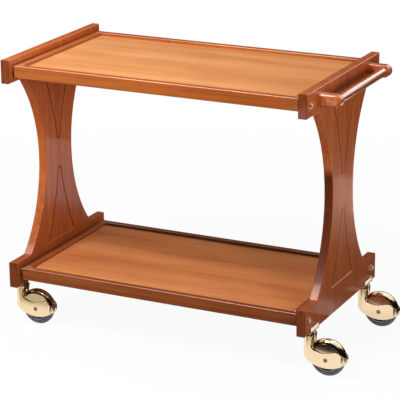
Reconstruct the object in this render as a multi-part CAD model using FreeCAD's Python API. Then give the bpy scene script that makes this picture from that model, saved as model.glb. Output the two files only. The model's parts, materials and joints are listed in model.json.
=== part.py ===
import FreeCAD, Part
import math
import os

# Two-tier serving trolley: two waisted end panels, two framed trays, a push handle and four casters.
# Millimetres, +Z up, +X towards the push handle, front at -Y. The origin is on the floor under the
# middle of the bounding box, with every caster trailing towards +X.

# Overall sizes
overall_height = 800.0
panel_span = 932.0
panel_depth = 522.0

# End panels
panel_thickness = 26.0
top_rail_height = 67.0
foot_height = 75.0
waist_half_width = 74.0
shoulder_half_width = 176.0
waist_fillet = 12.0
panel_edge_round = 2.5
groove_width = 3.6
groove_depth = 2.0
groove_apex_gap = 46.0
groove_tip_half_width = 7.0
groove_base_half_width = 74.0
groove_base_margin = 6.0
groove_bow = 7.4

# Trays
tray_inset = 18.0
tray_height = 36.0
tray_rail_width = 20.0
tray_lip = 9.0
deck_thickness = 12.0
deck_gap = 0.3
ledge_width = 6.0
ledge_height = 10.0
top_rim_drop = 17.0
bottom_tray_rise = 21.0
rail_edge_round = 2.5
tray_gap = 6.0
tray_spacer_diameter = 14.0

# Push handle
handle_inset = 67.0
handle_drop = 30.0
handle_bar_diameter = 25.0
bracket_width = 29.0
bracket_height = 35.0
bracket_reach = 66.0
bracket_round = 3.0
bracket_face_round = 8.0
bar_seat_depth = 12.0

# Fasteners
bolt_diameter = 6.0
bolt_head_diameter = 10.0
bolt_head_height = 3.5
bolt_head_round = 1.6
bolt_reach = 56.0
bolt_socket = 4.0
socket_depth = 2.4
barrel_nut_diameter = 9.0
barrel_nut_length = 14.0
barrel_nut_setback = 45.0
panel_dowel_diameter = 6.0
panel_dowel_length = 40.0
panel_dowel_rise = 11.0
corner_dowel_diameter = 8.0
corner_dowel_length = 32.0
corner_dowel_bite = 11.0
corner_dowel_drop = 10.0
handle_screw_diameter = 5.0
handle_screw_head_diameter = 9.0
handle_screw_head_height = 3.0
handle_screw_length = 56.0
handle_screw_pitch = 18.0
block_screw_diameter = 4.0
block_screw_head_diameter = 8.0
block_screw_length = 34.0
block_screw_pitch = 40.0
hole_clearance = 0.2
glue_gap = 0.02

# Casters
caster_inset = 61.0
caster_trail = 51.0
wheel_radius = 50.0
tyre_width = 24.0
tyre_thickness = 12.0
tyre_shoulder = 10.5
hub_boss_radius = 13.0
hub_web_width = 13.0
hub_rim_thickness = 5.0
axle_diameter = 8.0
axle_head_diameter = 12.0
axle_head_height = 1.4
axle_head_recess = 2.0
axle_dimple_diameter = 5.0
spacer_diameter = 16.0
kingpin_diameter = 10.0
kingpin_seat = 24.0
kingpin_flange_diameter = 16.0
kingpin_flange_height = 3.0
flange_clearance = 0.4
washer_diameter = 26.0
washer_thickness = 3.8
running_clearance = 0.05
face_gap = 0.2
block_length = 60.0
block_height = 16.0
block_depth = 24.0
block_proud = 4.0
block_edge_round = 1.0
wheel_clearance = 4.5
side_clearance = 3.3
dome_wall = 2.5
dome_flat = 1.0
dome_flank_radius = 300.0
cheek_thickness = 1.7
head_radius = 16.0
head_rise = 13.0
head_floor_drop = 38.0
collar_drop = 7.0
skirt_drop = 23.5
skirt_radius = 95.0
neck_back = 39.8
throat_back = 46.4
throat_rise = 25.7
throat_radius = 15.0
dip_back = 8.6
dip_rise = 17.4
dip_radius = 45.0
crest_ahead = 33.3
crest_rise = 28.1
crest_radius = 14.0
tail_rise = 6.4

# Places worked out from the sizes above
cavity_half = tyre_width / 2 + side_clearance
dome_half = cavity_half + dome_wall
skirt_half = dome_half + cheek_thickness
cavity_radius = wheel_radius + wheel_clearance
dome_radius = cavity_radius + dome_wall
dome_round = dome_half - dome_flat
skirt_end = caster_trail + dome_radius + cheek_thickness
head_top = wheel_radius + dome_radius + head_rise
foot_bottom = head_top + washer_thickness + face_gap
foot_top = foot_bottom + foot_height
rail_bottom = overall_height - top_rail_height
waist_z = (foot_top + rail_bottom) / 2
mid_x = (skirt_half - skirt_end) / 2
outer_half = panel_span / 2
inner_half = outer_half - panel_thickness
tray_half = inner_half - tray_gap
tray_depth = panel_depth - 2 * tray_inset
dowel_bite = (panel_dowel_length - tray_gap) / 2
top_tray_z = overall_height - top_rim_drop - tray_height
bottom_tray_z = foot_bottom + bottom_tray_rise
rail_y = (tray_depth - tray_rail_width) / 2
stem_x = outer_half + block_proud - block_depth / 2
stem_y = panel_depth / 2 - caster_inset
handle_span = panel_depth - 2 * handle_inset
bar_x = mid_x + outer_half + bracket_reach - bracket_height / 2
bar_z = overall_height - handle_drop
bracket_y = (handle_span - bracket_width) / 2

V = FreeCAD.Vector
X_AXIS = V(1, 0, 0)
Y_AXIS = V(0, 1, 0)
Z_AXIS = V(0, 0, 1)
CUT_PAST = 1.0
SIDES = (("left", -1), ("right", 1))
ENDS = (("front", -1), ("rear", 1))
TRAYS = (("top", top_tray_z), ("bottom", bottom_tray_z))


def box(low, high):
    """A box between two corners, given in any order."""
    corner = V(min(low.x, high.x), min(low.y, high.y), min(low.z, high.z))
    size = V(abs(high.x - low.x), abs(high.y - low.y), abs(high.z - low.z))
    return Part.makeBox(size.x, size.y, size.z, corner)


def rod(diameter, start, axis, length):
    return Part.makeCylinder(diameter / 2, length, start, axis)


def line(a, b):
    return Part.LineSegment(a, b).toShape()


def arc(a, middle, b):
    return Part.Arc(a, middle, b).toShape()


def prism(edges, along):
    return Part.Face(Part.Wire(edges)).extrude(along)


def rounded(shape, radius, keep=None):
    """Rounds every edge of a shape, or those that keep accepts."""
    edges = [edge for edge in shape.Edges if keep is None or keep(edge)]
    return shape.makeFillet(radius, edges)


def cut_all(shape, tools):
    return shape.cut(tools) if tools else shape


# End panels

def waist_edges(hand, x):
    """One hollow side of the panel, from the foot's end up to the rail's end, at y times hand."""
    half_height = (rail_bottom - foot_top) / 2
    inset = shoulder_half_width - waist_half_width
    radius = (inset ** 2 + half_height ** 2) / (2 * inset)
    centre_y = waist_half_width + radius
    fillet_height = half_height - waist_fillet
    fillet_y = centre_y - math.sqrt((radius - waist_fillet) ** 2 - fillet_height ** 2)
    reach = radius / (radius - waist_fillet)
    touch_y = centre_y + (fillet_y - centre_y) * reach
    touch_height = fillet_height * reach
    turn = math.atan2(fillet_height, centre_y - fillet_y)
    middle_turn = (turn + math.pi / 2) / 2
    bulge_y = fillet_y - waist_fillet * math.cos(middle_turn)
    bulge_height = fillet_height + waist_fillet * math.sin(middle_turn)

    def at(y, z):
        return V(x, hand * y, z)

    half_depth = panel_depth / 2
    return [
        line(at(half_depth, foot_bottom), at(half_depth, foot_top)),
        line(at(half_depth, foot_top), at(fillet_y, foot_top)),
        arc(at(fillet_y, foot_top), at(bulge_y, waist_z - bulge_height),
            at(touch_y, waist_z - touch_height)),
        arc(at(touch_y, waist_z - touch_height), at(waist_half_width, waist_z),
            at(touch_y, waist_z + touch_height)),
        arc(at(touch_y, waist_z + touch_height), at(bulge_y, waist_z + bulge_height),
            at(fillet_y, rail_bottom)),
        line(at(fillet_y, rail_bottom), at(half_depth, rail_bottom)),
        line(at(half_depth, rail_bottom), at(half_depth, overall_height)),
    ]


def groove_section(surface_point, across, outward):
    """A V groove's section, centred on a point of the surface and a little proud of it."""
    proud = outward * CUT_PAST
    half = groove_width / 2 * (1 + CUT_PAST / groove_depth)
    corners = [
        surface_point + proud + across * half,
        surface_point + proud - across * half,
        surface_point - outward * groove_depth,
    ]
    return Part.Face(Part.makePolygon(corners + corners[:1]))


def groove_tools(face_x, outward):
    """The two routed triangles on one face of a panel, blunt at the waist and mirrored above and below it."""
    tools = []
    base_z = (rail_bottom - foot_top) / 2 - groove_base_margin
    for up in (1, -1):
        for hand in (1, -1):
            apex = V(face_x, hand * groove_tip_half_width, waist_z + up * groove_apex_gap)
            base = V(face_x, hand * groove_base_half_width, waist_z + up * base_z)
            chord = base - apex
            radius = chord.Length ** 2 / (8 * groove_bow) + groove_bow / 2
            side = chord.cross(X_AXIS).normalize()
            if side.y * hand < 0:
                side = side * -1
            centre = (apex + base) * 0.5 + side * (radius - groove_bow)
            spoke = (apex - centre).normalize()
            sweep = math.degrees(spoke.getAngle(base - centre))
            if spoke.cross(base - centre).x < 0:
                sweep = -sweep
            section = groove_section(apex, spoke, outward)
            tools.append(section.revolve(centre, X_AXIS, sweep))
        tip_reach = groove_tip_half_width + groove_width / 2
        for rise, reach in ((groove_apex_gap, tip_reach), (base_z, groove_base_half_width)):
            section = groove_section(V(face_x, -reach, waist_z + up * rise), Z_AXIS, outward)
            tools.append(section.extrude(Y_AXIS * (2 * reach)))
    return tools


def end_panel(side):
    """One shaped board: top rail, waist and foot, with its grooves, notches and holes."""
    outer = mid_x + side * outer_half
    inner = mid_x + side * inner_half
    half_depth = panel_depth / 2
    outline = waist_edges(1, inner) + waist_edges(-1, inner)
    outline.append(line(V(inner, half_depth, overall_height), V(inner, -half_depth, overall_height)))
    outline.append(line(V(inner, -half_depth, foot_bottom), V(inner, half_depth, foot_bottom)))
    board = prism(Part.sortEdges(outline)[0], V(outer - inner, 0, 0))
    board = rounded(board, panel_edge_round,
                    lambda edge: edge.BoundBox.XLength < panel_thickness / 2)
    tools = groove_tools(outer, X_AXIS * side) + groove_tools(inner, X_AXIS * -side)
    for _, end in ENDS:
        for _, tray_z in TRAYS:
            place = V(outer, end * rail_y, tray_z + tray_height / 2)
            inward = X_AXIS * -side
            tools.append(rod(bolt_diameter + 2 * hole_clearance, place, inward, panel_thickness))
            dowel = V(inner, end * rail_y, tray_z + tray_height / 2 + panel_dowel_rise)
            tools.append(rod(panel_dowel_diameter + 2 * glue_gap, dowel, X_AXIS * side, dowel_bite))
        low = V(outer + side * block_proud, end * stem_y - block_length / 2, foot_bottom - CUT_PAST)
        high = V(outer - side * (block_depth - block_proud), end * stem_y + block_length / 2,
                 foot_bottom + block_height)
        tools.append(box(low, high))
        for step in (-1, 1):
            start = V(mid_x + side * stem_x, end * stem_y + step * block_screw_pitch / 2, foot_bottom)
            tools.append(rod(block_screw_diameter + 2 * glue_gap, start, Z_AXIS, block_screw_length))
    if side > 0:
        for start in handle_screw_places():
            tools.append(rod(handle_screw_diameter + 2 * hole_clearance, start, X_AXIS,
                             panel_thickness))
            tools.append(rod(handle_screw_head_diameter + 2 * hole_clearance, start, X_AXIS,
                             handle_screw_head_height))
    return cut_all(board, tools)


# Trays

def long_rail(tray_z, end):
    """A front or back rail with a ledge for the deck, bored for bolts, nuts and dowels."""
    y_out = end * tray_depth / 2
    y_in = y_out - end * tray_rail_width
    low = V(mid_x - tray_half, y_out, tray_z)
    high = V(mid_x + tray_half, y_in, tray_z + tray_height)
    rail = rounded(box(low, high), rail_edge_round)
    ledge_top = tray_z + tray_height - tray_lip - deck_thickness
    ledge_half = tray_half - tray_rail_width - ledge_width
    ledge = box(V(mid_x - ledge_half, y_in + end * ledge_width, ledge_top - ledge_height),
                V(mid_x + ledge_half, y_in - end * ledge_width, ledge_top))
    rail = rail.fuse(ledge).removeSplitter()
    tools = []
    for _, side in SIDES:
        middle = V(mid_x + side * tray_half, end * rail_y, tray_z + tray_height / 2)
        inward = X_AXIS * -side
        tools.append(rod(bolt_diameter + 2 * hole_clearance, middle, inward, bolt_reach + CUT_PAST))
        dowel = middle + Z_AXIS * panel_dowel_rise
        tools.append(rod(panel_dowel_diameter + 2 * glue_gap, dowel, inward, dowel_bite))
        nut = barrel_nut_place(tray_z, side, end)
        nut_top = nut.z + barrel_nut_length / 2
        tools.append(rod(barrel_nut_diameter + 2 * glue_gap, V(nut.x, nut.y, tray_z - CUT_PAST), Z_AXIS,
                         nut_top - tray_z + CUT_PAST))
        tools.append(rod(corner_dowel_diameter + 2 * glue_gap, corner_dowel_start(tray_z, side, end),
                         Y_AXIS * -end, corner_dowel_length))
    return cut_all(rail, tools)


def short_rail(tray_z, side):
    """An end rail with a ledge for the deck, between the front and back rails."""
    x_out = mid_x + side * tray_half
    x_in = x_out - side * tray_rail_width
    half = tray_depth / 2 - tray_rail_width
    rail = rounded(box(V(x_out, -half, tray_z), V(x_in, half, tray_z + tray_height)), rail_edge_round)
    ledge_top = tray_z + tray_height - tray_lip - deck_thickness
    ledge = box(V(x_in + side * ledge_width, -half, ledge_top - ledge_height),
                V(x_in - side * ledge_width, half, ledge_top))
    rail = rail.fuse(ledge).removeSplitter()
    tools = []
    for _, end in ENDS:
        tools.append(rod(corner_dowel_diameter + 2 * glue_gap, corner_dowel_start(tray_z, side, end),
                         Y_AXIS * -end, corner_dowel_length))
    return cut_all(rail, tools)


def deck(tray_z):
    """The veneered board that lies on the ledges of the four rails."""
    half_x = tray_half - tray_rail_width - deck_gap
    half_y = tray_depth / 2 - tray_rail_width - deck_gap
    top = tray_z + tray_height - tray_lip
    return box(V(mid_x - half_x, -half_y, top - deck_thickness), V(mid_x + half_x, half_y, top))


def corner_dowel_start(tray_z, side, end):
    """Where a corner dowel begins inside the long rail; it runs inward across the joint."""
    x = mid_x + side * (tray_half - tray_rail_width / 2)
    y = end * (tray_depth / 2 - tray_rail_width + corner_dowel_bite)
    return V(x, y, tray_z + tray_height / 2 - corner_dowel_drop)


# Push handle

def handle_screw_places():
    """Starts of the handle screws, on the inner face of the right end panel."""
    return [V(mid_x + inner_half, end * bracket_y, bar_z + step * handle_screw_pitch / 2)
            for _, end in ENDS for step in (-1, 1)]


def handle_bracket(end):
    """A rounded arm screwed to the end panel, with a blind seat for the bar."""
    face_x = mid_x + outer_half
    radius = bracket_height / 2
    y = end * bracket_y - bracket_width / 2
    low = V(face_x, y, bar_z - radius)
    high = V(face_x, y, bar_z + radius)
    edges = [
        line(low, V(bar_x, y, low.z)),
        arc(V(bar_x, y, low.z), V(bar_x + radius, y, bar_z), V(bar_x, y, high.z)),
        line(V(bar_x, y, high.z), high),
        line(high, low),
    ]
    arm = prism(edges, Y_AXIS * bracket_width)

    def along_side(hand):
        side_y = end * bracket_y + hand * bracket_width / 2

        def on_side(edge):
            bounds = edge.BoundBox
            middle_y = (bounds.YMin + bounds.YMax) / 2
            return (bounds.YLength < bracket_width / 2 and bounds.XMax > face_x + radius
                    and abs(middle_y - side_y) < bracket_width / 4)
        return on_side

    arm = rounded(arm, bracket_face_round, along_side(end))
    arm = rounded(arm, bracket_round, along_side(-end))
    seat_start = V(bar_x, end * (bracket_y - bracket_width / 2), bar_z)
    seat = rod(handle_bar_diameter + 2 * glue_gap, seat_start, Y_AXIS * end, bar_seat_depth)
    screws = [rod(handle_screw_diameter + 2 * glue_gap, start, X_AXIS, handle_screw_length)
              for start in handle_screw_places() if start.y * end > 0]
    return cut_all(arm, [seat] + screws)


def handle_bar():
    half = handle_span / 2 - bracket_width + bar_seat_depth
    return rod(handle_bar_diameter, V(bar_x, -half, bar_z), Y_AXIS, 2 * half)


# Fasteners

def headed_pin(diameter, head_diameter, head_height, start, axis, length):
    """A screw or bolt whose head starts at a point and whose shank runs on along the axis."""
    head = rod(head_diameter, start, axis, head_height)
    return head.fuse(rod(diameter, start, axis, length)).removeSplitter()


def hex_socket(across, start, axis, depth):
    """A hexagonal key recess sunk into a head along its axis."""
    spoke = Z_AXIS * (across / math.sqrt(3))
    corners = []
    for step in range(6):
        turn = FreeCAD.Rotation(axis, 60 * step)
        corners.append(start + turn.multVec(spoke))
    return Part.Face(Part.makePolygon(corners + corners[:1])).extrude(axis * depth)


def panel_bolts():
    """Long bolts through the end panels, their button heads proud of the outer faces."""
    bolts = []
    for _, side in SIDES:
        for _, end in ENDS:
            for _, tray_z in TRAYS:
                start = V(mid_x + side * (outer_half + bolt_head_height), end * rail_y,
                          tray_z + tray_height / 2)
                inward = X_AXIS * -side
                bolt = headed_pin(bolt_diameter, bolt_head_diameter, bolt_head_height, start, inward,
                                  bolt_head_height + panel_thickness + tray_gap + bolt_reach)
                bolt = rounded(bolt, bolt_head_round,
                               lambda edge: edge.CenterOfMass.isEqual(start, bolt_head_round))
                bolts.append(bolt.cut(hex_socket(bolt_socket, start, inward, socket_depth)))
    return Part.makeCompound(bolts)


def barrel_nut_place(tray_z, side, end):
    return V(mid_x + side * (tray_half - barrel_nut_setback), end * rail_y, tray_z + tray_height / 2)


def barrel_nuts():
    nuts = []
    for _, side in SIDES:
        for _, end in ENDS:
            for _, tray_z in TRAYS:
                place = barrel_nut_place(tray_z, side, end)
                body = rod(barrel_nut_diameter, place - Z_AXIS * (barrel_nut_length / 2), Z_AXIS,
                           barrel_nut_length)
                thread = rod(bolt_diameter + 2 * glue_gap, place - X_AXIS * barrel_nut_diameter, X_AXIS,
                             2 * barrel_nut_diameter)
                nuts.append(body.cut(thread))
    return Part.makeCompound(nuts)


def tray_spacers():
    """Rings on the panel bolts that hold the trays clear of the end panels."""
    rings = []
    for _, side in SIDES:
        for _, end in ENDS:
            for _, tray_z in TRAYS:
                start = V(mid_x + side * tray_half, end * rail_y, tray_z + tray_height / 2)
                ring = rod(tray_spacer_diameter, start, X_AXIS * side, tray_gap)
                bore = rod(bolt_diameter + 2 * hole_clearance, start, X_AXIS * side, tray_gap)
                rings.append(ring.cut(bore))
    return Part.makeCompound(rings)


def panel_dowels():
    dowels = []
    for _, side in SIDES:
        for _, end in ENDS:
            for _, tray_z in TRAYS:
                middle = V(mid_x + side * (inner_half + tray_half) / 2, end * rail_y,
                           tray_z + tray_height / 2 + panel_dowel_rise)
                start = middle - X_AXIS * (panel_dowel_length / 2)
                dowels.append(rod(panel_dowel_diameter, start, X_AXIS, panel_dowel_length))
    return Part.makeCompound(dowels)


def corner_dowels():
    dowels = []
    for _, side in SIDES:
        for _, end in ENDS:
            for _, tray_z in TRAYS:
                start = corner_dowel_start(tray_z, side, end)
                dowels.append(rod(corner_dowel_diameter, start, Y_AXIS * -end, corner_dowel_length))
    return Part.makeCompound(dowels)


def handle_screws():
    return Part.makeCompound([headed_pin(handle_screw_diameter, handle_screw_head_diameter,
                                         handle_screw_head_height, start, X_AXIS, handle_screw_length)
                              for start in handle_screw_places()])


def block_screw_starts(stem):
    return [stem + V(0, step * block_screw_pitch / 2, foot_bottom) for step in (-1, 1)]


def countersunk_screw(start):
    """A countersunk screw that points up, its head flush with the underside of the block."""
    cone_height = (block_screw_head_diameter - block_screw_diameter) / 2
    head = Part.makeCone(block_screw_head_diameter / 2, block_screw_diameter / 2, cone_height, start,
                         Z_AXIS)
    return head.fuse(rod(block_screw_diameter, start, Z_AXIS, block_screw_length)).removeSplitter()


# Casters, made about the stem's axis with the trail towards +X

axle_place = V(caster_trail, 0, wheel_radius)


def disc_about_axle(radius, half_width, rounding):
    """A solid disc about the axle with rounded rims."""
    flat = half_width - rounding
    inner = radius - rounding
    slope = rounding * math.sqrt(0.5)

    def at(r, y):
        return axle_place + V(0, y, r)

    edges = [
        line(at(0, -half_width), at(inner, -half_width)),
        arc(at(inner, -half_width), at(inner + slope, -flat - slope), at(radius, -flat)),
        line(at(radius, -flat), at(radius, flat)),
        arc(at(radius, flat), at(inner + slope, flat + slope), at(inner, half_width)),
        line(at(inner, half_width), at(0, half_width)),
        line(at(0, half_width), at(0, -half_width)),
    ]
    return Part.Face(Part.Wire(edges)).revolve(axle_place, Y_AXIS, 360)


def domed_about_axle(radius, half_width, flank_radius):
    """A closed dome about the axle: shallow domed flanks that run into a rounded crown."""
    crown = (2 * half_width * flank_radius - radius ** 2 - half_width ** 2) / (2 * (flank_radius - radius))
    turn = math.atan2(radius - crown, flank_radius - half_width)

    def on_flank(angle, hand):
        y = flank_radius * math.cos(angle) - flank_radius + half_width
        return axle_place + V(0, hand * y, flank_radius * math.sin(angle))

    def on_crown(angle, hand):
        return axle_place + V(0, hand * crown * math.cos(angle), radius - crown + crown * math.sin(angle))

    edges = []
    for hand in (-1, 1):
        steps = [arc(on_flank(0, hand), on_flank(turn / 2, hand), on_flank(turn, hand)),
                 arc(on_flank(turn, hand), on_crown((turn + math.pi / 2) / 2, hand),
                     on_crown(math.pi / 2, hand))]
        edges += steps
    edges.append(line(on_flank(0, 1), on_flank(0, -1)))
    return Part.Face(Part.Wire(Part.__sortEdges__(edges))).revolve(axle_place, Y_AXIS, 360)


def flank_fall(r):
    """How far the inside of the dome has fallen in at a distance from the axle."""
    flank = dome_flank_radius - dome_wall
    return flank - math.sqrt(flank ** 2 - r ** 2)


def stadium(half_width, end_x, low_z, high_z):
    """A block with a round front about the stem's axis and straight sides back to end_x."""
    front = Part.makeCylinder(half_width, high_z - low_z, V(0, 0, low_z))
    back = box(V(0, -half_width, low_z), V(end_x, half_width, high_z))
    return front.fuse(back).removeSplitter()


def round_corner(before, corner, after, radius):
    """Start, middle and end of the arc that rounds a corner between two straight lines."""
    back = (before - corner).normalize()
    ahead = (after - corner).normalize()
    half = back.getAngle(ahead) / 2
    reach = radius / math.tan(half)
    centre = corner + (back + ahead).normalize() * (radius / math.sin(half))
    middle = centre + (corner - centre).normalize() * radius
    return corner + back * reach, middle, corner + ahead * reach


def skirt_outline():
    """Side view of the hood's skirt: collar, S-shaped rim, trailing end and bowed lower edge."""
    collar_z = head_top - collar_drop
    front_x = -skirt_half - CUT_PAST
    end_x = skirt_end + CUT_PAST
    neck = V(axle_place.x - neck_back, 0, collar_z)
    throat = axle_place + V(-throat_back, 0, throat_rise)
    dip = axle_place + V(-dip_back, 0, dip_rise)
    crest = axle_place + V(crest_ahead, 0, crest_rise)
    tail = V(end_x, 0, axle_place.z + tail_rise)
    throat_arc = round_corner(neck, throat, dip, throat_radius)
    dip_arc = round_corner(throat, dip, crest, dip_radius)
    crest_arc = round_corner(dip, crest, tail, crest_radius)
    lower = axle_place + V(0, 0, skirt_radius - skirt_drop)

    def on_lower_edge(x):
        return V(x, 0, lower.z - math.sqrt(skirt_radius ** 2 - (lower.x - x) ** 2))

    front_top = V(front_x, 0, collar_z)
    return [
        line(front_top, neck),
        line(neck, throat_arc[0]),
        arc(*throat_arc),
        line(throat_arc[2], dip_arc[0]),
        arc(*dip_arc),
        line(dip_arc[2], crest_arc[0]),
        arc(*crest_arc),
        line(crest_arc[2], tail),
        line(tail, on_lower_edge(end_x)),
        arc(on_lower_edge(end_x), on_lower_edge(lower.x), on_lower_edge(front_x)),
        line(on_lower_edge(front_x), front_top),
    ]


def below_lower_edge():
    """Everything under the hood's bowed lower edge."""
    lower = axle_place + V(0, 0, skirt_radius - skirt_drop)
    width = 2 * (skirt_half + CUT_PAST)
    start = lower - Y_AXIS * (width / 2)
    opening = Part.makeCylinder(skirt_radius, width, start, Y_AXIS)
    reach = skirt_end + skirt_half
    floor_z = axle_place.z - dome_radius - CUT_PAST
    block = box(V(lower.x - reach, -width / 2, floor_z), V(lower.x + reach, width / 2, lower.z))
    return block.cut(opening)


def hood():
    """The cast hood: domed guard, skirt with cheeks, and the head that the kingpin is pressed into."""
    outline = prism(skirt_outline(), Y_AXIS * (2 * skirt_half))
    outline.translate(Y_AXIS * -skirt_half)
    trailing_x = caster_trail + dome_radius

    def upright_at_back(edge):
        return edge.BoundBox.XMin > trailing_x and edge.BoundBox.ZLength > head_rise

    skirt = stadium(skirt_half, skirt_end, 0, head_top)
    skirt = rounded(skirt, dome_round + cheek_thickness, upright_at_back).common(outline)
    dome = domed_about_axle(dome_radius, dome_half, dome_flank_radius)
    floor_z = head_top - head_floor_drop
    head = Part.makeCylinder(head_radius, head_floor_drop, V(0, 0, floor_z))
    shell = skirt.fuse([dome, head]).removeSplitter()
    cavity = domed_about_axle(cavity_radius, cavity_half, dome_flank_radius - dome_wall)
    pocket = stadium(cavity_half, caster_trail - throat_back, -CUT_PAST, floor_z)
    pin_start = V(0, 0, head_top - kingpin_seat)
    pin_hole = rod(kingpin_diameter + 2 * glue_gap, pin_start, Z_AXIS, kingpin_seat)
    axle_start = axle_place - Y_AXIS * skirt_half
    axle_hole = rod(axle_diameter + 2 * glue_gap, axle_start, Y_AXIS, 2 * skirt_half)
    tools = [cavity, pocket, below_lower_edge(), pin_hole, axle_hole]
    for hand in (-1, 1):
        face = axle_place + Y_AXIS * (hand * skirt_half)
        tools.append(rod(axle_head_diameter + 2 * hole_clearance, face, Y_AXIS * -hand,
                         axle_head_recess))
    return cut_all(shell, tools).removeSplitter()


def axle():
    """A riveted pin with a dimpled head sunk in each cheek."""
    half = skirt_half - axle_head_recess + axle_head_height
    pin = rod(axle_diameter, axle_place - Y_AXIS * half, Y_AXIS, 2 * half)
    dimples = []
    for hand in (-1, 1):
        face = axle_place + Y_AXIS * (hand * half)
        pin = pin.fuse(rod(axle_head_diameter, face, Y_AXIS * -hand, axle_head_height))
        dimples.append(Part.makeCone(axle_dimple_diameter / 2, 0, axle_head_height, face,
                                     Y_AXIS * -hand))
    return cut_all(pin.removeSplitter(), dimples)


def spacers():
    rings = []
    inner = tyre_width / 2 + face_gap
    length = cavity_half - inner - flank_fall(spacer_diameter / 2) - glue_gap
    for hand in (-1, 1):
        start = axle_place + Y_AXIS * (hand * inner)
        ring = rod(spacer_diameter, start, Y_AXIS * hand, length)
        rings.append(ring.cut(rod(axle_diameter + 2 * glue_gap, start, Y_AXIS * hand, length)))
    return Part.makeCompound(rings)


def wheel_centre():
    """The moulded wheel centre: a boss, a thinner web and a rim under the tyre."""
    rim_radius = wheel_radius - tyre_thickness
    half = tyre_width / 2
    web_half = hub_web_width / 2
    bore = axle_diameter / 2 + running_clearance
    web_out = rim_radius - hub_rim_thickness
    half_section = [(bore, half), (hub_boss_radius, half), (hub_boss_radius, web_half),
                    (web_out, web_half), (web_out, half), (rim_radius, half)]
    section = half_section + [(r, -y) for r, y in reversed(half_section)]
    corners = [V(axle_place.x, y, axle_place.z + r) for r, y in section]
    face = Part.Face(Part.makePolygon(corners + corners[:1]))
    return face.revolve(axle_place, Y_AXIS, 360)


def tyre():
    rim_radius = wheel_radius - tyre_thickness + glue_gap
    ring = disc_about_axle(wheel_radius, tyre_width / 2, tyre_shoulder)
    start = axle_place - Y_AXIS * tyre_width
    return ring.cut(Part.makeCylinder(rim_radius, 2 * tyre_width, start, Y_AXIS))


def kingpin():
    """The swivel pin: pressed into the hood's head, with a flange that hangs in the block."""
    bottom = head_top - kingpin_seat
    flange_z = foot_bottom + block_height - kingpin_flange_height - face_gap
    shank = rod(kingpin_diameter, V(0, 0, bottom), Z_AXIS, flange_z - bottom)
    flange = rod(kingpin_flange_diameter, V(0, 0, flange_z), Z_AXIS, kingpin_flange_height)
    return shank.fuse(flange).removeSplitter()


def thrust_washer():
    ring = rod(washer_diameter, V(0, 0, head_top), Z_AXIS, washer_thickness)
    return ring.cut(rod(kingpin_diameter + 2 * glue_gap, V(0, 0, head_top), Z_AXIS, washer_thickness))


def block(side):
    """The brass block let into the foot and proud of its outer face, bored for the kingpin."""
    body = box(V(-block_depth / 2, -block_length / 2, foot_bottom),
               V(block_depth / 2, block_length / 2, foot_bottom + block_height))
    body = rounded(body, block_edge_round,
                   lambda edge: edge.CenterOfMass.x * side > block_depth / 2 - block_edge_round)
    ledge = foot_bottom + block_height - kingpin_flange_height - 2 * face_gap
    tools = [
        rod(kingpin_diameter + 2 * running_clearance, V(0, 0, foot_bottom), Z_AXIS, block_height),
        rod(kingpin_flange_diameter + 2 * flange_clearance, V(0, 0, ledge), Z_AXIS, block_height),
    ]
    cone_height = (block_screw_head_diameter - block_screw_diameter) / 2
    for start in block_screw_starts(V(0, 0, 0)):
        tools.append(rod(block_screw_diameter + 2 * glue_gap, start, Z_AXIS, block_height))
        tools.append(Part.makeCone(block_screw_head_diameter / 2 + glue_gap,
                                   block_screw_diameter / 2 + glue_gap, cone_height, start, Z_AXIS))
    return cut_all(body, tools)


# Assembly: every node by name

nodes = {}
for side_name, side in SIDES:
    nodes[f"{side_name}_end_panel"] = end_panel(side)
for tray_name, tray_z in TRAYS:
    nodes[f"{tray_name}_front_rail"] = long_rail(tray_z, -1)
    nodes[f"{tray_name}_back_rail"] = long_rail(tray_z, 1)
    for side_name, side in SIDES:
        nodes[f"{tray_name}_{side_name}_rail"] = short_rail(tray_z, side)
    nodes[f"{tray_name}_deck"] = deck(tray_z)
for end_name, end in ENDS:
    nodes[f"handle_{end_name}_bracket"] = handle_bracket(end)
nodes["handle_bar"] = handle_bar()
nodes["panel_bolts"] = panel_bolts()
nodes["barrel_nuts"] = barrel_nuts()
nodes["tray_spacers"] = tray_spacers()
nodes["panel_dowels"] = panel_dowels()
nodes["corner_dowels"] = corner_dowels()
nodes["handle_screws"] = handle_screws()

caster_pieces = {
    "kingpin": kingpin(),
    "thrust_washer": thrust_washer(),
    "hood": hood(),
    "axle": axle(),
    "spacers": spacers(),
    "wheel_centre": wheel_centre(),
    "tyre": tyre(),
}
block_screws = []
for end_name, end in ENDS:
    for side_name, side in SIDES:
        stem = V(mid_x + side * stem_x, end * stem_y, 0)
        nodes[f"{end_name}_{side_name}_block"] = block(side).translated(stem)
        for piece_name, shape in caster_pieces.items():
            nodes[f"{end_name}_{side_name}_{piece_name}"] = shape.translated(stem)
        block_screws += [countersunk_screw(start) for start in block_screw_starts(stem)]
nodes["block_screws"] = Part.makeCompound(block_screws)

os.makedirs("parts", exist_ok=True)
for node_name, shape in nodes.items():
    shape.exportStep(f"parts/{node_name}.step")
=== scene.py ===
import json
import math
import bmesh
import bpy
from mathutils import Matrix, Vector


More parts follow.
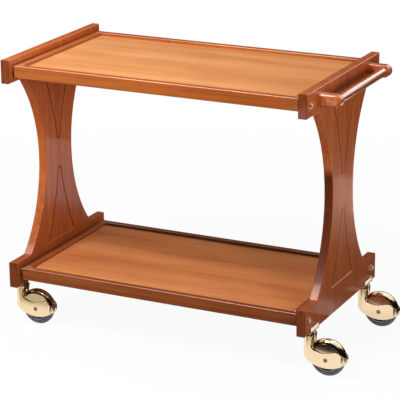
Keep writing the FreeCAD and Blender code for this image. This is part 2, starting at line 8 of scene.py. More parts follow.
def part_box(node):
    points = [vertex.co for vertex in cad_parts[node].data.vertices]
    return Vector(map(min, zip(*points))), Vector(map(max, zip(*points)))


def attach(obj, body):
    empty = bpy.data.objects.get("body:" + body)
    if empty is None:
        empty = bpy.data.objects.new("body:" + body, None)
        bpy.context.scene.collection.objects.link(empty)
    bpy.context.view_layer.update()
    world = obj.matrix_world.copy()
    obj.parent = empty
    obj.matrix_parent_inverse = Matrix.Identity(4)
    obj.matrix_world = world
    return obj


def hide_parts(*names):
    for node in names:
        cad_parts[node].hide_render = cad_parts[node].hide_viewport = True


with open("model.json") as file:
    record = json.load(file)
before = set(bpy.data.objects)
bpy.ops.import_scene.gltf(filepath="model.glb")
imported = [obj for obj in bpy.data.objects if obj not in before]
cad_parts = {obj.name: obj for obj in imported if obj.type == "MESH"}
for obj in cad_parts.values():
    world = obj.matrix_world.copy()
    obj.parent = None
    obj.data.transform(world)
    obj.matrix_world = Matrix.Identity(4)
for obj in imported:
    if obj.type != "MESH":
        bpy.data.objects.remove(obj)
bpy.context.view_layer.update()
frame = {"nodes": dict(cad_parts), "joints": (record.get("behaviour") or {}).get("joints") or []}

# End panels. Each is one shaped board of reddish stained cherry, sawn to a waist, with V grooves routed
# in both faces and every long edge rounded over before the gloss lacquer goes on.


class Shade:
    """A shader socket: sums on it add the Math nodes that work them out."""

    def __init__(self, tree, socket):
        self.tree = tree
        self.socket = socket

    def node(self, kind, settings=None, inputs=None, output=0):
        """Adds any node: its settings first, then the values or links of its sockets."""
        made = self.tree.nodes.new(kind)
        for name, value in (settings or {}).items():
            if name == "stops":
                ramp = made.color_ramp
                while len(ramp.elements) < len(value):
                    ramp.elements.new(0.5)
                for element, (position, colour) in zip(ramp.elements, value):
                    element.position = position
                    element.color = colour
            else:
                setattr(made, name, value)
        for name, value in (inputs or {}).items():
            if isinstance(value, Shade):
                self.tree.links.new(value.socket, made.inputs[name])
            else:
                made.inputs[name].default_value = value
        return Shade(self.tree, made.outputs[output])

    def sum(self, operation, first, second=0.0):
        return self.node("ShaderNodeMath", {"operation": operation}, {0: first, 1: second})

    def __add__(self, other):
        return self.sum("ADD", self, other)

    def __radd__(self, other):
        return self.sum("ADD", other, self)

    def __sub__(self, other):
        return self.sum("SUBTRACT", self, other)

    def __rsub__(self, other):
        return self.sum("SUBTRACT", other, self)

    def __mul__(self, other):
        return self.sum("MULTIPLY", self, other)

    def __rmul__(self, other):
        return self.sum("MULTIPLY", other, self)

    def __gt__(self, other):
        return self.sum("GREATER_THAN", self, other)

    def __lt__(self, other):
        return self.sum("LESS_THAN", self, other)

    def __abs__(self):
        return self.sum("ABSOLUTE", self)

    def feed(self, target):
        self.tree.links.new(self.socket, target)


def finish_of(name, **constants):
    """A new material: itself, its shader's sockets and the object's own coordinates."""
    material = bpy.data.materials.new(name)
    material.use_nodes = True
    tree = material.node_tree
    sockets = tree.nodes["Principled BSDF"].inputs
    for socket, value in constants.items():
        sockets[socket.replace("_", " ")].default_value = value
    place = tree.nodes.new("ShaderNodeTexCoord")
    return material, sockets, Shade(tree, place.outputs["Object"])


def stain(red, green, blue):
    """A colour as seen on a screen, from 0 to 255, as the linear colour that a shader takes."""
    linear = []
    for part in (red, green, blue):
        share = part / 255
        linear.append(share / 12.92 if share <= 0.04045 else ((share + 0.055) / 1.055) ** 2.4)
    return (*linear, 1.0)


def along(vector, axis):
    """The part of a vector along X, Y or Z."""
    return vector.node("ShaderNodeSeparateXYZ", {}, {0: vector}, "XYZ".index(axis))


def facing(place, axis):
    """How far the surface faces along X, Y or Z."""
    return along(place.node("ShaderNodeNewGeometry", {}, {}, 1), axis)


def fade(value, start, end, last=1.0):
    """Rises from nothing to a last level while a value goes from start to end."""
    return value.node("ShaderNodeMapRange", {}, {"Value": value, "From Min": start, "From Max": end,
                                                 "To Min": 0.0, "To Max": last})


def noise(place, scale, detail=2.0, roughness=0.5):
    """Soft noise stretched by a scale for each axis, in cells for each metre."""
    stretched = place.node("ShaderNodeVectorMath", {"operation": "MULTIPLY"}, {0: place, 1: scale})
    return place.node("ShaderNodeTexNoise", {}, {"Vector": stretched, "Scale": 1.0, "Detail": detail,
                                                 "Roughness": roughness})


def mixed(factor, first, second):
    """One colour laid over another by a factor."""
    return factor.node("ShaderNodeMix", {"data_type": "RGBA"}, {0: factor, 6: first, 7: second}, 2)


def raise_skin(sockets, relief, strength, depth):
    """Gives a finish the fine relief of its surface, so many metres deep."""
    bump = relief.node("ShaderNodeBump", {}, {"Strength": strength, "Distance": depth, "Height": relief})
    bump.feed(sockets["Normal"])


TURN_TO_GRAIN = {"X": (0, 0, 0), "Y": (0, 0, -math.pi / 2), "Z": (0, math.pi / 2, 0)}
BANDS_ALONG_GRAIN = 0.9
STREAK_CELLS = (2.4, 150.0, 150.0)
FIBRE_CELLS = (16.0, 1100.0, 1100.0)
PORE_CELLS = (48.0, 1700.0, 1700.0)
PORE_LEVEL = 0.66
BLOTCH_CELLS = (5.0, 9.0, 9.0)
BANDS_AND_STREAKS = 0.66
# Groove colour: stain pooled in the routed lines, deepened with painted shade.
GROOVE_STAIN_AND_SHADE = stain(62, 20, 8)
# Pale painted highlight for the grooves' lit base line and tips.
GROOVE_PAINTED_HIGHLIGHT = stain(232, 168, 122)


def wood(name, grain, shift, dark, middle, pale, coat, sheen, figure=0.3, groove=None, stain_and_shade=None,
         lacquer=1.5, bands_per_metre=26.0):
    """Straight-grained lacquered wood. The grain runs along an axis, shift picks another board, and figure
    is how strongly the broad bands of the yearly growth show. Two optional functions, for the grooves and
    for darker places, tell where stain lies deep, where shade and highlights are painted in, and where the
    lacquer is dull."""
    material, sockets, place = finish_of(name, Coat_Roughness=sheen, Coat_IOR=lacquer, IOR=1.45,
                                         Specular_IOR_Level=0.1 + coat * 0.4)
    board = place.node("ShaderNodeMapping", {}, {"Vector": place, "Location": shift,
                                                 "Rotation": TURN_TO_GRAIN[grain]})
    bands = noise(board, (BANDS_ALONG_GRAIN, bands_per_metre, bands_per_metre), 3.0, 0.55)
    streaks = noise(board, STREAK_CELLS, 4.0, 0.6)
    fibres = noise(board, FIBRE_CELLS, 2.0, 0.6)
    pores = noise(board, PORE_CELLS, 1.0) > PORE_LEVEL
    blotches = noise(board, BLOTCH_CELLS, 2.0)
    tone = bands * figure + streaks * (BANDS_AND_STREAKS - figure) + fibres * 0.2 + blotches * 0.14
    colour = tone.node("ShaderNodeValToRGB", {"stops": [(0.36, dark), (0.5, middle), (0.64, pale)]},
                       {"Fac": tone})
    colour = mixed(pores * 0.3, colour, dark)
    gloss = coat + blotches * 0.12
    dull = 0.3 + streaks * 0.16
    if stain_and_shade:
        dark_share, rubbed, darkening_colour = stain_and_shade(place)
        # Darker colour where the mask says: deeper stain on sawn ends, and painted shade.
        colour = mixed(dark_share, colour, darkening_colour)
        gloss = gloss * (1.0 - rubbed)
    if groove:
        in_groove, shining, painted_highlight = groove(place)
        # The grooves are darkened past their stain with painted shade.
        colour = mixed(in_groove * 0.85, colour, GROOVE_STAIN_AND_SHADE)
        # Painted highlight: the base line and tips are paled.
        colour = mixed(in_groove * painted_highlight, colour, GROOVE_PAINTED_HIGHLIGHT)
        matt = in_groove * (1.0 - shining)
        gloss = gloss * (1.0 - matt)
        dull = dull + matt * 0.5
    colour.feed(sockets["Base Color"])
    dull.feed(sockets["Roughness"])
    gloss.feed(sockets["Coat Weight"])
    raise_skin(sockets, fibres * 0.5 + streaks * 0.5 - pores * 0.6, 0.12, 0.0004)
    return material


def dress(node, material):
    """Gives a solid of the frame its finish."""
    slots = frame["nodes"][node].data.materials
    slots.clear()
    slots.append(material)


CHERRY_TONES = (stain(148, 65, 25), stain(184, 92, 42), stain(204, 112, 57))
# The left panel's tones are lighter than the right's: painted light, where more light falls on the left
# panel.
PANEL_TONES = {"left": (stain(160, 70, 24), stain(198, 99, 40), stain(214, 119, 54)),
               "right": CHERRY_TONES}
PANEL_SHIFT = {"left": (0.3, 1.7, 0.4), "right": (2.1, 0.6, 1.9)}
# Deep stain on the sawn ends; the same colour paints shade towards the foot and the right front edge's
# shadow.
END_STAIN_AND_SHADE = stain(98, 41, 17)
END_FACE_Y = 0.2588
RING_CELLS = (240.0, 4.0, 34.0)
FACE_SKIN = 0.00005

# Where the grooves run, measured from the waist, from the board's middle and from the floor.
WAIST_Z = 0.466
GROOVE_BED = 0.0105
TIP_MARGIN = 0.012
GROOVE_SPREAD = 0.26
GROOVE_REACH = 0.2635
TIP_REACH = 0.0475
BASE_LINE_Z = 0.2085
GROOVE_GLOSS = {"left": 0.0, "right": 1.0}
# How strongly the painted highlight pales the base line on each panel, and the tips.
BASE_PAINTED_HIGHLIGHT = {"left": 0.5, "right": 0.8}
TIP_PAINTED_HIGHLIGHT = 0.85

# Heights between which painted shade darkens the foot and a painted shadow the right front edge, and the
# lacquer is rubbed, and by how much.
FOOT_DARK_FROM, FOOT_DARK_TO = 0.5, 0.15
PAINTED_FOOT_SHADE = {"left": 0.5, "right": 0.4}
FOOT_RUBBED_FROM, FOOT_RUBBED_TO = 0.36, 0.2
FOOT_RUBBED = 0.6
# Painted shadow on the right panel's sawn front edge, fading in below the waist.
EDGE_DARK_FROM, EDGE_DARK_TO = 0.555, 0.525
PAINTED_EDGE_SHADOW = {"left": 0.0, "right": 1.0}
EDGE_RUBBED = 0.75
FILLET_LOW, FILLET_HIGH = 0.21, 0.26
FILLET_RUBBED = {"left": 0.3, "right": 0.8}
FOOT_TOP_Z = 0.165

for side in ("left", "right"):
    low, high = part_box(f"{side}_end_panel")
    middle_x = (low.x + high.x) / 2
    face_depth = (high.x - low.x) / 2 - FACE_SKIN

    def routed(place):
        """Stain lies thicker in the routed lines, just under either face, deepened with painted shade. A
        painted highlight pales the base line on both panels and the tips on the right one, where the lacquer
        also stays glossy."""
        from_middle = abs(along(place, "X") - middle_x)
        from_waist = abs(along(place, "Z") - WAIST_Z)
        inside = abs(along(place, "Y")) < TIP_MARGIN + from_waist * GROOVE_SPREAD
        in_groove = (from_middle < face_depth) * (from_middle > GROOVE_BED) * inside
        in_groove = in_groove * (from_waist < GROOVE_REACH)
        base_line = along(place, "Z") < BASE_LINE_Z
        tip_line = (from_waist < TIP_REACH) * GROOVE_GLOSS[side]
        shining = base_line * GROOVE_GLOSS[side] + tip_line
        return in_groove, shining, base_line * BASE_PAINTED_HIGHLIGHT[side] + tip_line * TIP_PAINTED_HIGHLIGHT

    def end_stain_and_painted_shade(place):
        """The sawn ends of the rail and the foot drink more stain. Painted shade darkens the board towards
        its foot, and on the right panel a painted shadow darkens the sawn front edge from the waist down to
        the fillet.
        The lacquer is rubbed duller at the foot and along the sawn edges."""
        y = along(place, "Y")
        z = along(place, "Z")
        to_side = abs(facing(place, "X"))
        above_fillet = fade(z, FILLET_LOW, FILLET_HIGH)
        sawn_edge = (abs(facing(place, "Y")) > 0.75) * above_fillet
        # Painted shadow on the right panel's sawn front edge below the waist.
        painted_edge_shadow = sawn_edge * (y < 0.0) * fade(z, EDGE_DARK_FROM, EDGE_DARK_TO)
        # Painted shade: the board darkens towards its foot.
        painted_foot_shade = fade(z, FOOT_DARK_FROM, FOOT_DARK_TO, PAINTED_FOOT_SHADE[side])
        end_share = 0.3 + noise(place, RING_CELLS, 3.0, 0.6) - painted_foot_shade
        dark_share = painted_foot_shade + (abs(y) > END_FACE_Y) * end_share + painted_edge_shadow * PAINTED_EDGE_SHADOW[side]
        foot_face = fade(z, FOOT_RUBBED_FROM, FOOT_RUBBED_TO, FOOT_RUBBED) * (to_side > 0.7)
        in_fillet = (to_side < 0.7) * (1.0 - above_fillet) * (z > FOOT_TOP_Z)
        rubbed = foot_face + sawn_edge * EDGE_RUBBED + in_fillet * FILLET_RUBBED[side]
        return dark_share, rubbed, END_STAIN_AND_SHADE

    dress(f"{side}_end_panel", wood(f"{side}_panel_cherry", "Z", PANEL_SHIFT[side], *PANEL_TONES[side],
                                    0.5, 0.05, 0.2, routed, end_stain_and_painted_shade))

# Tray frames. Four moulded cherry rails are dowelled at the corners of each tray, standing a finger's
# width proud of the deck, stained and lacquered like the panels.
# The top rails' tones are lighter than the bottom rails': painted light, for light falling off towards the
# lower tray.
RAIL_TONES = {"top": (stain(132, 58, 17), stain(174, 89, 30), stain(197, 112, 46)),
              "bottom": (stain(100, 42, 15), stain(144, 72, 31), stain(170, 91, 43))}
RAIL_GRAIN = {"front_rail": "X", "back_rail": "X", "left_rail": "Y", "right_rail": "Y"}
# Colour of the painted shade on the bottom back rail's inner face.
INNER_SHADE_COLOUR = stain(66, 30, 13)
NEXT_BOARD = 0.83


def painted_inner_shade(place):
    """The back rail of the bottom tray is painted darker on its inner face: painted shade under the top
    tray.
    """
    inner_face = facing(place, "Y") < -0.3
    return inner_face * 0.92, inner_face * 0.4, INNER_SHADE_COLOUR


board_shift = 0.0
for tray in ("top", "bottom"):
    for rail, grain in RAIL_GRAIN.items():
        board_shift += NEXT_BOARD
        inside = painted_inner_shade if (tray, rail) == ("bottom", "back_rail") else None
        dress(f"{tray}_{rail}", wood(f"{tray}_{rail}_cherry", grain, (0.4, board_shift, 0.2),
                                     *RAIL_TONES[tray], 0.6, 0.07, stain_and_shade=inside))

# Decks. A thin board with a light honey veneer lies on the rails' ledges in each tray; its grain runs
# along the trolley in broad bands, and its satin lacquer is softer than the frame's.
# The bottom deck's tones are darker and redder than the top deck's: painted shade under the top tray.
DECK_TONES = {"top": (stain(190, 114, 60), stain(216, 144, 86), stain(230, 162, 104)),
              "bottom": (stain(172, 94, 49), stain(203, 125, 71), stain(221, 147, 90))}
DECK_SHIFT = {"top": (0.2, 0.9, 0.0), "bottom": (1.3, 2.4, 0.0)}
for tray, shift in DECK_SHIFT.items():
    dress(f"{tray}_deck", wood(f"{tray}_deck_veneer", "X", shift, *DECK_TONES[tray], 0.04, 0.4, 0.46,
                               bands_per_metre=13.0))

# Push handle. Two rounded arms are screwed through the right panel and carry a turned bar between them,
# all of the same stained cherry with a thick gloss lacquer where hands go.
ARM_SHIFT = {"front": (0.7, 1.85, 1.1), "rear": (0.7, 1.48, 1.1)}
for end, shift in ARM_SHIFT.items():
    dress(f"handle_{end}_bracket", wood(f"handle_{end}_arm_cherry", "X", shift, *CHERRY_TONES, 0.75, 0.14))
dress("handle_bar", wood("handle_bar_cherry", "Y", (0.2, 0.5, 0.9), *CHERRY_TONES, 0.9, 0.11, lacquer=2.1))

# Hidden joinery. Beech dowels keep the rails in line, zinc plated nuts and screws pull the joints
# together, and dark moulded rings hold the trays a little clear of the panels.
BEECH_TONES = (stain(176, 136, 96), stain(206, 170, 128), stain(224, 192, 152))
NYLON_TONES = (stain(46, 40, 36), stain(66, 58, 52))
for node, grain in (("panel_dowels", "X"), ("corner_dowels", "Y")):
    dress(node, wood(f"{node}_beech", grain, (0, 0, 0), *BEECH_TONES, 0.0, 0.4))


def zinc(name):
    """Zinc plated steel with the faint cloudy spangle of a barrel-plated screw."""
    material, sockets, place = finish_of(name, Metallic=1.0)
    cloud = noise(place, (90.0, 90.0, 90.0), 3.0)
    mixed(cloud, stain(150, 152, 156), stain(205, 206, 202)).feed(sockets["Base Color"])
    (0.22 + cloud * 0.25).feed(sockets["Roughness"])
    raise_skin(sockets, cloud, 0.1, 0.0002)
    return material


def moulded(name, dark, pale, gloss):
    """Moulded plastic with the fine matt texture of the tool that it came from."""
    material, sockets, place = finish_of(name)
    speck = noise(place, (1400.0, 1400.0, 1400.0), 2.0)
    flow = noise(place, (22.0, 22.0, 22.0), 3.0)
    mixed(flow * 0.7 + speck * 0.3, dark, pale).feed(sockets["Base Color"])
    (gloss + flow * 0.15).feed(sockets["Roughness"])
    raise_skin(sockets, speck, 0.15, 0.0002)
    return material


for node in ("barrel_nuts", "handle_screws", "block_screws"):
    dress(node, zinc(f"{node}_zinc"))
dress("tray_spacers", moulded("tray_spacer_nylon", *NYLON_TONES, 0.45))

# Brass pieces. The caster hoods and blocks are cast, ground and buffed to a pale gold mirror, and the
# bolts and axles are turned brass; buffing leaves a slight waviness in the reflections.
PIN_HEAD_UNSHADED = 0.0036
PIN_HEAD_EDGE = 0.0052
RECESS_SHADE_BLACK = stain(34, 26, 16)
CENTRE_TONES = (stain(58, 58, 66), stain(84, 84, 94))


def from_axle(place, hub):
    """How far a point lies from a wheel's axle, which runs along Y through the hub."""
    away = place.node("ShaderNodeVectorMath", {"operation": "SUBTRACT"}, {0: place, 1: hub})
    level = away.node("ShaderNodeVectorMath", {"operation": "MULTIPLY"}, {0: away, 1: (1, 0, 1)})
    return level.node("ShaderNodeVectorMath", {"operation": "LENGTH"}, {0: level}, 1)


def brass(name, dark, pale, dullness, hub=None):
    """Buffed brass. A riveted pin, given its hub, gets a dark ring of painted shade round the rim of its
    head.
    """
    material, sockets, place = finish_of(name, Metallic=1.0)
    haze = noise(place, (30.0, 30.0, 30.0), 3.0)
    ripple = noise(place, (55.0, 55.0, 55.0), 1.0)
    colour = mixed(haze, dark, pale)
    if hub:
        # Painted shade: a dark ring round the pin head's rim, as in a shaded recess.
        painted_recess_shade = fade(from_axle(place, hub), PIN_HEAD_UNSHADED, PIN_HEAD_EDGE)
        colour = mixed(painted_recess_shade * (0.55 + haze * 0.5), colour, RECESS_SHADE_BLACK)
    colour.feed(sockets["Base Color"])
    (dullness + haze * 0.08).feed(sockets["Roughness"])
    raise_skin(sockets, ripple, 0.06, 0.001)
    return material


bright_brass = brass("bright_brass", stain(244, 213, 170), stain(252, 230, 196), 0.13)
dress("panel_bolts", bright_brass)

corners = [f"{end}_{side}" for end in ("front", "rear") for side in ("left", "right")]
joint_places = {joint["child"]: Vector(joint["pos_m"]) for joint in frame["joints"]}
hubs = {corner: joint_places[f"{corner}_wheel"] for corner in corners}
stems = {corner: joint_places[f"{corner}_swivel"] for corner in corners}
for corner in corners:
    for piece in ("block", "hood"):
        dress(f"{corner}_{piece}", bright_brass)
    dress(f"{corner}_axle", brass(f"{corner}_axle_brass", stain(150, 122, 78), stain(188, 158, 110), 0.3,
                                  hubs[corner]))
    for piece in ("kingpin", "thrust_washer"):
        dress(f"{corner}_{piece}", zinc(f"{corner}_{piece}_zinc"))
    dress(f"{corner}_spacers", moulded(f"{corner}_spacer_nylon", *NYLON_TONES, 0.45))
    dress(f"{corner}_wheel_centre", moulded(f"{corner}_centre_plastic", *CENTRE_TONES, 0.35))

# Tyres. Each is a grey rubber ring moulded round the wheel centre, round in section, with a bead that laps
# over the rim on both sides, painted paler as a highlight, and a dusty band where it runs on the floor.
TYRE_RADIUS = 0.05
TYRE_HALF_WIDTH = 0.012
TYRE_SHOULDER = 0.0104
TYRE_SIDES = 96
SHOULDER_STEPS = 10
RIM_RADIUS = 0.0381
BEAD_INNER = 0.0332
BEAD_OUTER = 0.0362
BEAD_INNER_SLOPE = 0.0007
BEAD_OUTER_SLOPE = 0.001
BEAD_HEIGHT = 0.0007
DUST_FROM = 0.0485
DUST_TO = 0.0499


def choose(piece, kind, test):
    """Selects the faces, edges or corners of a piece in edit mode that pass a test."""
    bpy.ops.mesh.select_mode(type=kind)
    bpy.ops.mesh.select_all(action="DESELECT")
    shape = bmesh.from_edit_mesh(piece.data)
    group = {"VERT": shape.verts, "EDGE": shape.edges, "FACE": shape.faces}[kind]
    for item in group:
        if test(item):
            item.select_set(True)
    shape.select_flush_mode()
    bmesh.update_edit_mesh(piece.data)


def rubber(name, hub):
    """Grey moulded rubber with a painted highlight as a paler ring on the bead, dusty on the tread, about
    the wheel's own axle.
    """
    material, sockets, place = finish_of(name)
    radius = from_axle(place, hub)
    speck = noise(place, (1200.0, 1200.0, 1200.0), 2.0)
    flow = noise(place, (40.0, 40.0, 40.0), 3.0)
    colour = mixed(flow * 0.7 + speck * 0.3, stain(84, 82, 92), stain(110, 107, 120))
    # Painted highlight: a paler ring on the bead.
    painted_bead_highlight = (radius < BEAD_OUTER + 0.0002) * (radius > BEAD_INNER - 0.001)
    colour = mixed(painted_bead_highlight * 0.8, colour, stain(176, 174, 184))
    dusty = fade(radius, DUST_FROM, DUST_TO)
    colour = mixed(dusty * (0.2 + flow * 0.5), colour, stain(128, 122, 120))
    colour.feed(sockets["Base Color"])
    (0.42 + flow * 0.14 + dusty * 0.2).feed(sockets["Roughness"])
    raise_skin(sockets, speck * 0.6 + flow * 0.4, 0.15, 0.0002)
    return material


def ring_of_rubber(name, hub):
    """A tyre: a disc with round shoulders, its sides inset for the bead, and the rim's bore cut through."""
    bpy.ops.object.select_all(action="DESELECT")
    bpy.ops.mesh.primitive_cylinder_add(vertices=TYRE_SIDES, radius=TYRE_RADIUS, depth=2 * TYRE_HALF_WIDTH,
                                        location=hub, rotation=(math.pi / 2, 0, 0))
    tyre = bpy.context.object
    tyre.name = name
    bpy.ops.object.transform_apply(location=True, rotation=True, scale=True)
    bpy.ops.object.mode_set(mode="EDIT")
    choose(tyre, "EDGE", lambda edge: abs(edge.verts[0].co.y - edge.verts[1].co.y) < 1e-5)
    bpy.ops.mesh.bevel(offset=TYRE_SHOULDER, segments=SHOULDER_STEPS, affect="EDGES")

    def is_side(face):
        return len(face.verts) == TYRE_SIDES

    crest_outer = BEAD_OUTER - BEAD_OUTER_SLOPE
    crest_inner = BEAD_INNER + BEAD_INNER_SLOPE
    side_radius = TYRE_RADIUS - TYRE_SHOULDER
    for next_radius in (BEAD_OUTER, crest_outer, crest_inner, BEAD_INNER):
        choose(tyre, "FACE", is_side)
        bpy.ops.mesh.inset(thickness=side_radius - next_radius, use_even_offset=False)
        side_radius = next_radius

    def on_crest(point):
        level = point.co - hub
        from_hub = math.hypot(level.x, level.z)
        return crest_inner - BEAD_INNER_SLOPE / 2 < from_hub < crest_outer + BEAD_OUTER_SLOPE / 2

    choose(tyre, "VERT", on_crest)
    bpy.ops.transform.resize(value=(1, 1 + BEAD_HEIGHT / TYRE_HALF_WIDTH, 1), center_override=hub)
    choose(tyre, "FACE", is_side)
    bpy.ops.mesh.extrude_region_move()
    widen = RIM_RADIUS / BEAD_INNER
    bpy.ops.transform.resize(value=(widen, 1, widen), center_override=hub)
    choose(tyre, "FACE", is_side)
    bpy.ops.mesh.delete(type="ONLY_FACE")
    choose(tyre, "EDGE", lambda edge: edge.is_boundary)
    bpy.ops.mesh.bridge_edge_loops()
    bpy.ops.mesh.select_all(action="SELECT")
    bpy.ops.mesh.remove_doubles(threshold=1e-6)
    bpy.ops.mesh.normals_make_consistent(inside=False)
    bpy.ops.object.mode_set(mode="OBJECT")
    bpy.ops.object.shade_smooth_by_angle(angle=math.radians(40))
    return tyre


first_hub = hubs[corners[0]]
first_tyre = ring_of_rubber(f"{corners[0]}_rubber_tyre", first_hub)
tyres = {corners[0]: first_tyre}
for corner in corners[1:]:
    tyre = first_tyre.copy()
    tyre.data = first_tyre.data.copy()
    tyre.name = f"{corner}_rubber_tyre"
    tyre.data.transform(Matrix.Translation(hubs[corner] - first_hub))
    bpy.context.scene.collection.objects.link(tyre)
    tyres[corner] = tyre
for corner, tyre in tyres.items():
    tyre.data.materials.append(rubber(f"{corner}_tyre_rubber", hubs[corner]))
    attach(tyre, f"{corner}_wheel")
    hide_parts(f"{corner}_tyre")

# The room. A pale paper floor that fades to white, a white surround and large soft lamps stand in for
# the studio. The paper keeps the trolley's shadow.
FLOOR_SIZE = 120.0
FADE_FROM = 0.9
FADE_TO = 2.4
PAPER_BY_TROLLEY = 0.94


def looked_at(tree):
    """1 where the camera, a mirror or glass looks, and 0 for the light that falls on the trolley."""
    rays = tree.nodes.new("ShaderNodeLightPath").outputs
    camera = Shade(tree, rays["Is Camera Ray"])
    mirror = Shade(tree, rays["Is Glossy Ray"])
    glass = Shade(tree, rays["Is Transmission Ray"])
    return camera + mirror + glass


bpy.ops.object.select_all(action="DESELECT")
bpy.ops.mesh.primitive_plane_add(size=FLOOR_SIZE, location=(0.0, 0.0, 0.0))
floor = bpy.context.object
floor.name = "studio_floor"
paper, sockets, place = finish_of("studio_paper", Roughness=0.9)
tree = paper.node_tree
seen = looked_at(tree)
mixed(seen, (0.3, 0.3, 0.3, 1.0), (0.86, 0.86, 0.86, 1.0)).feed(sockets["Base Color"])
from_trolley = place.node("ShaderNodeVectorMath", {"operation": "LENGTH"}, {0: place}, 1)
whiteness = PAPER_BY_TROLLEY + fade(from_trolley, FADE_FROM, FADE_TO, 1.0 - PAPER_BY_TROLLEY)
plain = Shade(tree, tree.nodes["Principled BSDF"].outputs[0])
white = seen.node("ShaderNodeEmission", {}, {"Color": (1, 1, 1, 1), "Strength": 1.0})
seen.node("ShaderNodeMixShader", {}, {0: seen * whiteness, 1: plain, 2: white}).feed(
    tree.nodes["Material Output"].inputs["Surface"])
floor.data.materials.append(paper)

world = bpy.context.scene.world or bpy.data.worlds.new("studio")
bpy.context.scene.world = world
world.use_nodes = True
tree = world.node_tree
seen = looked_at(tree)
dim = seen.node("ShaderNodeBackground", {}, {"Color": (0.9, 0.95, 1.0, 1.0), "Strength": 0.12})
white = seen.node("ShaderNodeBackground", {}, {"Color": (1, 1, 1, 1), "Strength": 1.0})
seen.node("ShaderNodeMixShader", {}, {0: seen, 1: dim, 2: white}).feed(
    tree.nodes["World Output"].inputs["Surface"])


def soft_lamp(name, place, aim, width, height, power, mirrored=True):
    """A soft box: a rectangular lamp that faces a point. Where it isn't mirrored, gloss doesn't show it."""
    lamp = bpy.data.lights.new(name, "AREA")
    lamp.shape = "RECTANGLE"
    lamp.size = width
    lamp.size_y = height
    lamp.energy = power
    lamp_object = bpy.data.objects.new(name, lamp)
    lamp_object.location = place
    lamp_object.rotation_euler = (Vector(aim) - Vector(place)).to_track_quat("-Z", "Y").to_euler()
    lamp_object.visible_glossy = mirrored
    bpy.context.scene.collection.objects.link(lamp_object)


soft_lamp("key_box", (-0.6, -1.1, 2.05), (-0.05, -0.05, 0.6), 0.8, 0.8, 37)
soft_lamp("top_box", (0.25, 0.1, 3.0), (0.1, 0, 0.4), 1.4, 1.0, 12)
soft_lamp("side_box", (2.3, -1.3, 0.95), (0.0, 0, 0.5), 0.9, 0.9, 32, mirrored=False)
soft_lamp("left_fill", (-1.5, -1.5, 0.55), (-0.45, -0.1, 0.55), 0.6, 0.6, 8, mirrored=False)
soft_lamp("rear_box", (0.6, 3.0, 2.3), (0.4, 0, 0.7), 1.2, 0.8, 24, mirrored=False)

# Sheets for the reflections. Black cloth keeps glare off the polish and white cards lift it, as in a studio.
# They stand about the trolley, and only mirrors see them.
WHITE = (1.0, 1.0, 1.0, 1.0)
PINK_WHITE = (1.0, 0.62, 0.43, 1.0)
WARM_WHITE = (1.0, 0.84, 0.7, 1.0)
ARM_WHITE = (1.0, 0.88, 0.76, 1.0)
STRAW = (1.0, 0.95, 0.76, 1.0)
CLOTH_BLACK = (0.01, 0.01, 0.01, 1.0)


def card(name, outline, glow, tint=WHITE):
    """A sheet that only reflections see, drawn by its four corners; without a glow it is black cloth."""
    bpy.ops.object.select_all(action="DESELECT")
    bpy.ops.mesh.primitive_plane_add(size=1.0)
    sheet = bpy.context.object
    sheet.name = name
    for index, point in zip((0, 1, 3, 2), outline):
        sheet.data.vertices[index].co = point
    sheet.visible_camera = False
    sheet.visible_diffuse = False
    sheet.visible_transmission = False
    sheet.visible_shadow = False
    face, face_sockets, _ = finish_of(name + "_face", Roughness=1.0, Specular_IOR_Level=0.0)
    face_sockets["Base Color"].default_value = CLOTH_BLACK
    face_sockets["Emission Color"].default_value = tint
    face_sockets["Emission Strength"].default_value = glow
    sheet.data.materials.append(face)


def level_card(name, left, right, near, far, height, glow, tint=WHITE):
    card(name, [(left, near, height), (right, near, height), (right, far, height), (left, far, height)],
         glow, tint)


def upright_card(name, left, right, away, low, high, glow, tint=WHITE):
    card(name, [(left, away, low), (right, away, low), (right, away, high), (left, away, high)], glow, tint)


# On the floor: black cloth before and behind, and between them pale bands that the gloss of the panels'
# faces shows, brighter to the back.
ROOM_HALF = 5.0
ON_FLOOR = 0.001
BANDS_NEAR = 0.74
BANDS_FAR = 1.51
BAND_SPLIT = 0.6
BANDS = {"nearest": (0.8, 0.2, 0.0), "near": (0.85, 0.45, 0.0), "low": (0.98, 0.74, 0.17),
         "middle": (1.11, 0.74, 0.36), "high": (1.24, 0.74, 0.56), "far": (BANDS_FAR, 0.74, 0.74)}
level_card("cloth_near", -ROOM_HALF, ROOM_HALF, -ROOM_HALF, BANDS_NEAR, ON_FLOOR, 0.0)
level_card("cloth_far", -ROOM_HALF, ROOM_HALF, BANDS_FAR, ROOM_HALF, ON_FLOOR, 0.0)
near = BANDS_NEAR
for name, (far, left_glow, right_glow) in BANDS.items():
    level_card(f"left_band_{name}", -ROOM_HALF, BAND_SPLIT, near, far, ON_FLOOR, left_glow)
    level_card(f"right_band_{name}", BAND_SPLIT, ROOM_HALF, near, far, ON_FLOOR, right_glow, PINK_WHITE)
    near = far

# Under and beside the casters: each card's left and right reach from the stem, half depth and height.
CASTER_CARDS = {"cheek_card": (-0.13, 0.12, 0.265, 0.002), "nose_card": (-0.3, -0.04, 0.15, 0.02),
                "tail_card": (0.085, 0.2, 0.1, 0.012)}
CARD_GLOW = {"front_left": 0.98, "front_right": 1.0, "rear_left": 0.86, "rear_right": 0.88}
for corner, stem in stems.items():
    for part, (left, right, half_depth, height) in CASTER_CARDS.items():
        level_card(f"{corner}_{part}", stem.x + left, stem.x + right, stem.y - half_depth,
                   stem.y + half_depth, height, CARD_GLOW[corner])
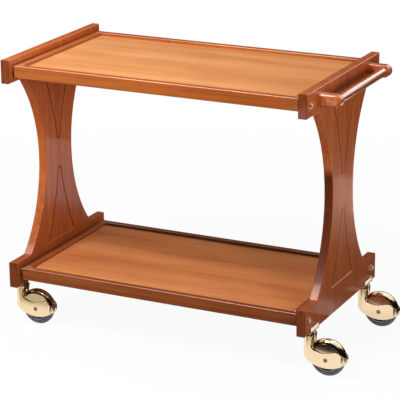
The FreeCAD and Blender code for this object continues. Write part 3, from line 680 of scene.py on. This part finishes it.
# Two low screens glow in the pale cherry tone: a painted reflection of the wooden feet in the domes.
for side, left, right in (("left", -0.85, -0.4), ("right", 0.08, 0.52)):
    upright_card(f"{side}_caster_screen", left, right, -0.06, 0.0, 0.115, 0.25, CHERRY_TONES[2])
flank = stems["front_left"]
upright_card("flank_card", flank.x - 0.1, flank.x + 0.06, flank.y - 0.12, 0.017, 0.095, 0.55, STRAW)

# For the handle: the bar mirrors the windows behind it and the low card, the front arm the arm card.
level_card("bar_card", 0.5, 0.85, 1.15, 1.42, 0.003, 4.0)
upright_card("rear_window", 0.36, 1.26, 1.25, 1.1, 1.46, 3.1)
upright_card("low_window", 1.05, 1.3, 1.25, 0.86, 1.1, 3.1)
level_card("arm_card", -0.69, -0.6, -3.2, -2.5, 0.003, 10.0, ARM_WHITE)

# For the rails and the sawn edges: a warm card overhead and a narrow strip in front.
level_card("overhead_card", -2.8, -0.3, -2.4, 0.3, 3.2, 8.0, WARM_WHITE)
upright_card("front_strip", -0.92, -0.76, -2.9, 0.0, 1.3, 0.4)

# For the bolt heads and blocks on the right panel's face: a small card just past each.
PAST_PIECE = Vector((0.42, 0.85, -0.31)) * 0.03
BOLT_REACH = Vector((0.0, 0.009, 0.009))


def end_card(name, low, high, glow):
    """A card just past a bright piece on the right panel's face, where that piece mirrors it."""
    outline = [(low.y, low.z), (high.y, low.z), (high.y, high.z), (low.y, high.z)]
    card(name, [Vector((high.x, y, z)) + PAST_PIECE for y, z in outline], glow)


for corner in ("front_right", "rear_right"):
    end_card(f"{corner}_block_card", *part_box(f"{corner}_block"), 1.0)
panel_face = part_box("right_end_panel")[1].x
for tray in ("top", "bottom"):
    for rail in ("front_rail", "back_rail"):
        bolt = sum(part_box(f"{tray}_{rail}"), Vector()) / 2
        bolt.x = panel_face
        end_card(f"{tray}_{rail}_bolt_card", bolt - BOLT_REACH, bolt + BOLT_REACH, 1.6)

# Round the room: black curtains, lower to the back than to the front.
REAR_CURTAIN = 3.5
FRONT_CURTAIN = 6.0
RIGHT_CURTAIN = 2.6
upright_card("curtain_rear", -ROOM_HALF, ROOM_HALF, ROOM_HALF, 0.0, REAR_CURTAIN, 0.0)
upright_card("curtain_front", -ROOM_HALF, ROOM_HALF, -ROOM_HALF, 0.0, FRONT_CURTAIN, 0.0)
for name, x, rear_height in (("left", -ROOM_HALF, REAR_CURTAIN), ("right", ROOM_HALF, RIGHT_CURTAIN)):
    card(f"curtain_{name}", [(x, -ROOM_HALF, 0.0), (x, ROOM_HALF, 0.0), (x, ROOM_HALF, rear_height),
                             (x, -ROOM_HALF, FRONT_CURTAIN)], 0.0)

# The camera stands to the front right, a little above the trolley, with a long lens that keeps the rails
# of the two trays nearly parallel.
CAMERA_TURN = math.radians(26.416)
CAMERA_RISE = math.radians(17.923)
CAMERA_ROLL = math.radians(-0.535)
CAMERA_REACH = 5.3649
CAMERA_AIM = Vector((-0.0205, 0.0, 0.3787))
back = Vector((math.sin(CAMERA_TURN) * math.cos(CAMERA_RISE),
               -math.cos(CAMERA_TURN) * math.cos(CAMERA_RISE),
               math.sin(CAMERA_RISE)))
level_right = (-back).cross(Vector((0, 0, 1))).normalized()
level_up = level_right.cross(-back)
right = level_right * math.cos(CAMERA_ROLL) + level_up * math.sin(CAMERA_ROLL)
up = level_up * math.cos(CAMERA_ROLL) - level_right * math.sin(CAMERA_ROLL)
lens = bpy.data.cameras.new("camera")
lens.sensor_width = 36.0
lens.lens = 168.05
lens.clip_end = 60.0
camera = bpy.data.objects.new("camera", lens)
turn = Matrix((right, up, back)).transposed().to_4x4()
turn.translation = CAMERA_AIM + back * CAMERA_REACH
camera.matrix_world = turn
bpy.context.scene.collection.objects.link(camera)
bpy.context.scene.camera = camera
bpy.context.scene.view_settings.view_transform = "Standard"
